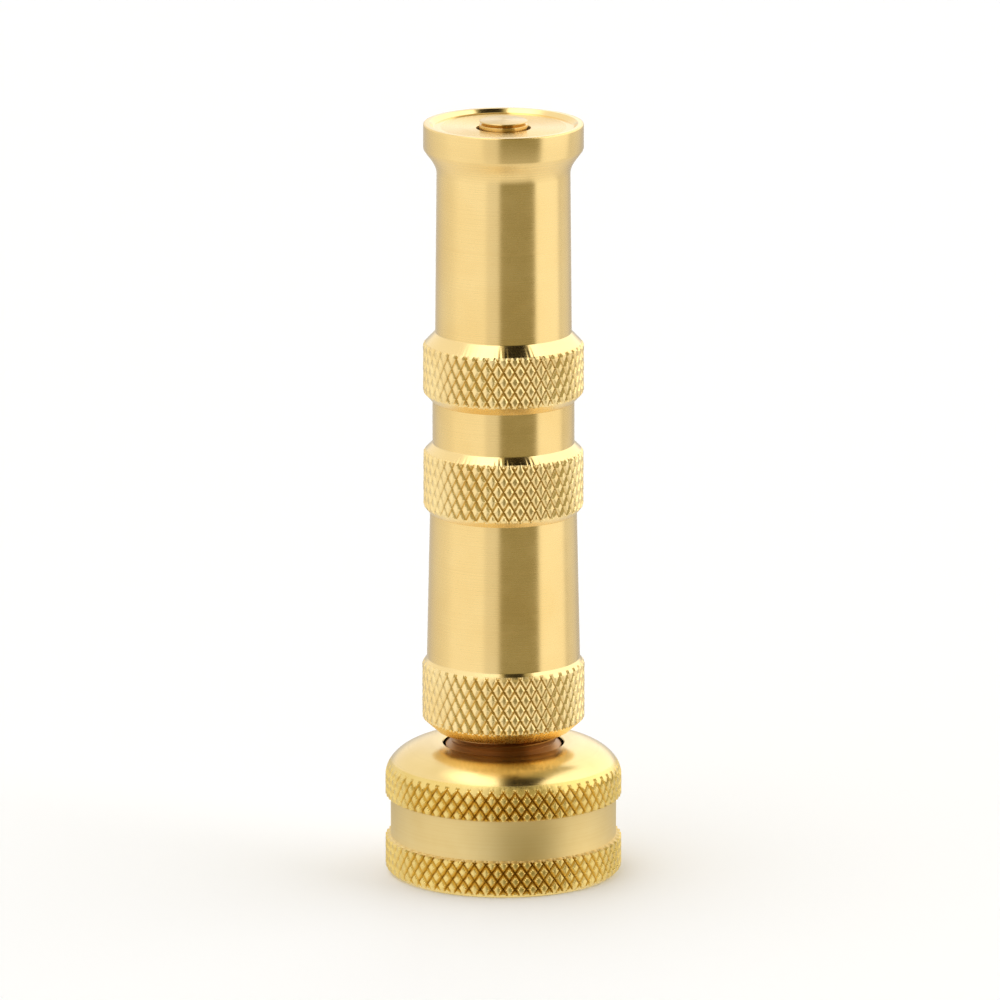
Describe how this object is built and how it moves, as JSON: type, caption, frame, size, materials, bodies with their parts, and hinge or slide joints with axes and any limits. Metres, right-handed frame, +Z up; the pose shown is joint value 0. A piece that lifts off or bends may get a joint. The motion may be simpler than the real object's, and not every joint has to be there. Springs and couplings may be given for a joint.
{
  "type": "hose spray nozzle",
  "caption": "Brass twist nozzle for a garden hose: a knurled barrel screws along a hollow stem to set the spray, above a swivelling hose coupling.",
  "frame": {"origin": "centre of the hose coupling's mouth, at the plane that the nozzle stands on", "axes": "+Z up the common axis of every turned piece, from the hose coupling to the mouth"},
  "size_m": [0.0316, 0.0316, 0.1021],
  "materials": {
    "turned_brass": "fine-turned, satin between bright and polished, with diamond-knurled rings",
    "coupling_brass": "turned satin dome and band with coarse diamond knurling, slightly redder",
    "stem_brass": "threaded, darkened brass",
    "tip_brass": "turned and polished",
    "spring_steel": "bright spring steel",
    "washer_rubber": "matte moulded rubber",
    "seal_rubber": "smooth nitrile rubber"
  },
  "bodies": {
    "coupling": {"coupling_nut": "coupling_brass", "hose_washer": "washer_rubber"},
    "stem": {"stem": "stem_brass", "tip": "tip_brass", "tip_seal": "seal_rubber", "stop_ring": "spring_steel"},
    "barrel_seal": {"barrel_seal": "seal_rubber"},
    "barrel": {"barrel": "turned_brass"}
  },
  "joints": [
    {"name": "coupling_swivel", "type": "hinge", "parent": "coupling", "child": "stem", "pos_m": [0, 0, 0], "axis": [0, 0, 1], "continuous": true},
    {"name": "barrel_travel", "type": "slide", "parent": "stem", "child": "barrel_seal", "axis": [0, 0, 1], "range_m": [0, 0.00635]},
    {"name": "barrel_twist", "type": "hinge", "parent": "barrel_seal", "child": "barrel", "pos_m": [0, 0, 0], "axis": [0, 0, 1], "range_deg": [0, 1080]}
  ],
  "couplings": [
    {"joint": "barrel_twist", "follows": "barrel_travel", "rad_per_m": 2968.4}
  ]
}
